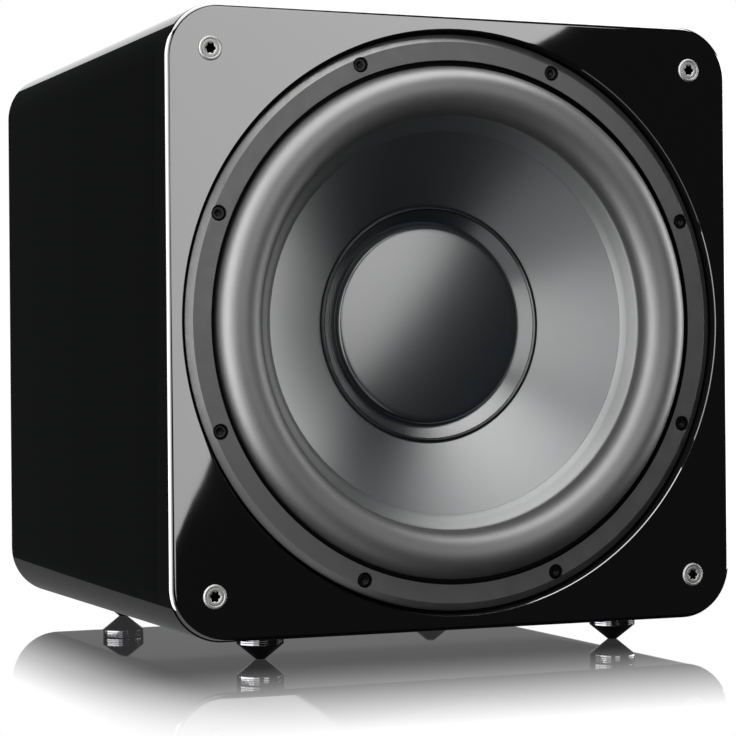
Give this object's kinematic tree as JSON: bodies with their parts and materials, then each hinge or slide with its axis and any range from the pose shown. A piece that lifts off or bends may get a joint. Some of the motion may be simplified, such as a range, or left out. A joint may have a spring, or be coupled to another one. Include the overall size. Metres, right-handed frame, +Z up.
{
  "type": "subwoofer",
  "caption": "Powered subwoofer: rounded-square gloss cabinet on spike feet with one large front driver and a rear plate amplifier.",
  "frame": {"origin": "on the floor, under the middle of the whole object", "axes": "X to the right when facing the driver, Y from the front face to the rear plate, Z up"},
  "size_m": [0.33, 0.349, 0.343],
  "materials": {
    "gloss_lacquer": "piano black lacquer over board",
    "rear_texture": "textured black paint",
    "raw_board": "raw fibreboard",
    "flange_metal": "satin dark grey coating",
    "foam_seal": "closed-cell foam",
    "surround_rubber": "matte rubber",
    "spider_cloth": "resin-treated cloth",
    "zinc_steel": "zinc plated",
    "black_steel": "black oxide",
    "ferrite": "ferrite ceramic",
    "black_plastic": "moulded black",
    "red_plastic": "red insulation",
    "amp_coating": "fine textured powder coat",
    "circuit_board": "solder mask",
    "bare_aluminium": "extruded",
    "copper": "enamelled winding wire",
    "satin_nickel": "satin nickel",
    "lens": "clear lens",
    "cone_metallic": "satin metallic grey",
    "former_film": "polyimide film",
    "black_chrome": "black chrome"
  },
  "bodies": {
    "root": {"cabinet_wrap": "gloss_lacquer", "front_baffle": "gloss_lacquer", "rear_panel": "rear_texture", "window_brace": "raw_board", "foot_insert_1": "zinc_steel", "foot_insert_2": "zinc_steel", "foot_insert_3": "zinc_steel", "foot_insert_4": "zinc_steel", "grille_socket_1": "satin_nickel", "grille_socket_2": "satin_nickel", "grille_socket_3": "satin_nickel", "grille_socket_4": "satin_nickel", "basket": "flange_metal", "driver_gasket": "foam_seal", "driver_screw_1": "black_steel", "driver_screw_2": "black_steel", "driver_screw_3": "black_steel", "driver_screw_4": "black_steel", "driver_screw_5": "black_steel", "driver_screw_6": "black_steel", "driver_screw_7": "black_steel", "driver_screw_8": "black_steel", "surround": "surround_rubber", "spider": "spider_cloth", "top_plate": "zinc_steel", "magnet": "ferrite", "pole_back_plate": "zinc_steel", "terminal_block": "black_plastic", "speaker_lead_black": "black_plastic", "speaker_lead_red": "red_plastic", "amp_plate": "amp_coating", "amp_gasket": "foam_seal", "amp_board": "circuit_board", "heat_sink": "bare_aluminium", "mains_transformer": "copper", "reservoir_capacitor_1": "black_plastic", "reservoir_capacitor_2": "black_plastic", "mains_inlet": "black_plastic", "rocker_housing": "black_plastic", "input_jack_left": "satin_nickel", "input_jack_right": "satin_nickel", "status_lens": "lens"},
    "cone_assembly": {"cone": "cone_metallic", "dust_cap": "cone_metallic", "coil_former": "former_film", "voice_coil": "copper"},
    "foot_stud_1": {"foot_stud_1": "zinc_steel"},
    "foot_cone_1": {"foot_cone_1": "black_chrome"},
    "foot_stud_2": {"foot_stud_2": "zinc_steel"},
    "foot_cone_2": {"foot_cone_2": "black_chrome"},
    "foot_stud_3": {"foot_stud_3": "zinc_steel"},
    "foot_cone_3": {"foot_cone_3": "black_chrome"},
    "foot_stud_4": {"foot_stud_4": "zinc_steel"},
    "foot_cone_4": {"foot_cone_4": "black_chrome"},
    "fuse_drawer": {"fuse_drawer": "black_plastic"},
    "power_rocker": {"power_rocker": "black_plastic"},
    "level_knob": {"level_knob": "black_plastic"},
    "crossover_knob": {"crossover_knob": "black_plastic"},
    "phase_slider": {"phase_slider": "black_plastic"},
    "mode_slider": {"mode_slider": "black_plastic"}
  },
  "joints": [
    {"name": "cone_travel", "type": "slide", "parent": "root", "child": "cone_assembly", "axis": [0, -1, 0], "range_m": [-0.012, 0.012], "stiffness_N_per_m": 3700, "deforming": ["surround", "spider"]},
    {"name": "foot_1_lift", "type": "slide", "parent": "root", "child": "foot_stud_1", "axis": [0, 0, 1], "range_m": [-0.006, 0]},
    {"name": "foot_1_turn", "type": "hinge", "parent": "foot_stud_1", "child": "foot_cone_1", "pos_m": [-0.1057, -0.138, 0.006], "axis": [0, 0, 1], "range_deg": [-1728, 0]},
    {"name": "foot_2_lift", "type": "slide", "parent": "root", "child": "foot_stud_2", "axis": [0, 0, 1], "range_m": [-0.006, 0]},
    {"name": "foot_2_turn", "type": "hinge", "parent": "foot_stud_2", "child": "foot_cone_2", "pos_m": [0.1057, -0.138, 0.006], "axis": [0, 0, 1], "range_deg": [-1728, 0]},
    {"name": "foot_3_lift", "type": "slide", "parent": "root", "child": "foot_stud_3", "axis": [0, 0, 1], "range_m": [-0.006, 0]},
    {"name": "foot_3_turn", "type": "hinge", "parent": "foot_stud_3", "child": "foot_cone_3", "pos_m": [-0.1057, 0.113, 0.006], "axis": [0, 0, 1], "range_deg": [-1728, 0]},
    {"name": "foot_4_lift", "type": "slide", "parent": "root", "child": "foot_stud_4", "axis": [0, 0, 1], "range_m": [-0.006, 0]},
    {"name": "foot_4_turn", "type": "hinge", "parent": "foot_stud_4", "child": "foot_cone_4", "pos_m": [0.1057, 0.113, 0.006], "axis": [0, 0, 1], "range_deg": [-1728, 0]},
    {"name": "fuse_drawer_slide", "type": "slide", "parent": "root", "child": "fuse_drawer", "axis": [0, 1, 0], "range_m": [0, 0.018]},
    {"name": "power_rocker_tilt", "type": "hinge", "parent": "root", "child": "power_rocker", "pos_m": [-0.02, 0.1575, 0.094], "axis": [1, 0, 0], "range_deg": [0, 14]},
    {"name": "level_knob_turn", "type": "hinge", "parent": "root", "child": "level_knob", "pos_m": [-0.04, 0.1625, 0.256], "axis": [0, 1, 0], "range_deg": [-150, 150]},
    {"name": "crossover_knob_turn", "type": "hinge", "parent": "root", "child": "crossover_knob", "pos_m": [0.02, 0.1625, 0.256], "axis": [0, 1, 0], "range_deg": [-150, 150]},
    {"name": "phase_slider_shift", "type": "slide", "parent": "root", "child": "phase_slider", "axis": [1, 0, 0], "range_m": [0, 0.004]},
    {"name": "mode_slider_shift", "type": "slide", "parent": "root", "child": "mode_slider", "axis": [1, 0, 0], "range_m": [0, 0.004]}
  ],
  "couplings": [
    {"joint": "foot_1_lift", "follows": "foot_1_turn", "m_per_rad": 0.00019894},
    {"joint": "foot_2_lift", "follows": "foot_2_turn", "m_per_rad": 0.00019894},
    {"joint": "foot_3_lift", "follows": "foot_3_turn", "m_per_rad": 0.00019894},
    {"joint": "foot_4_lift", "follows": "foot_4_turn", "m_per_rad": 0.00019894}
  ]
}
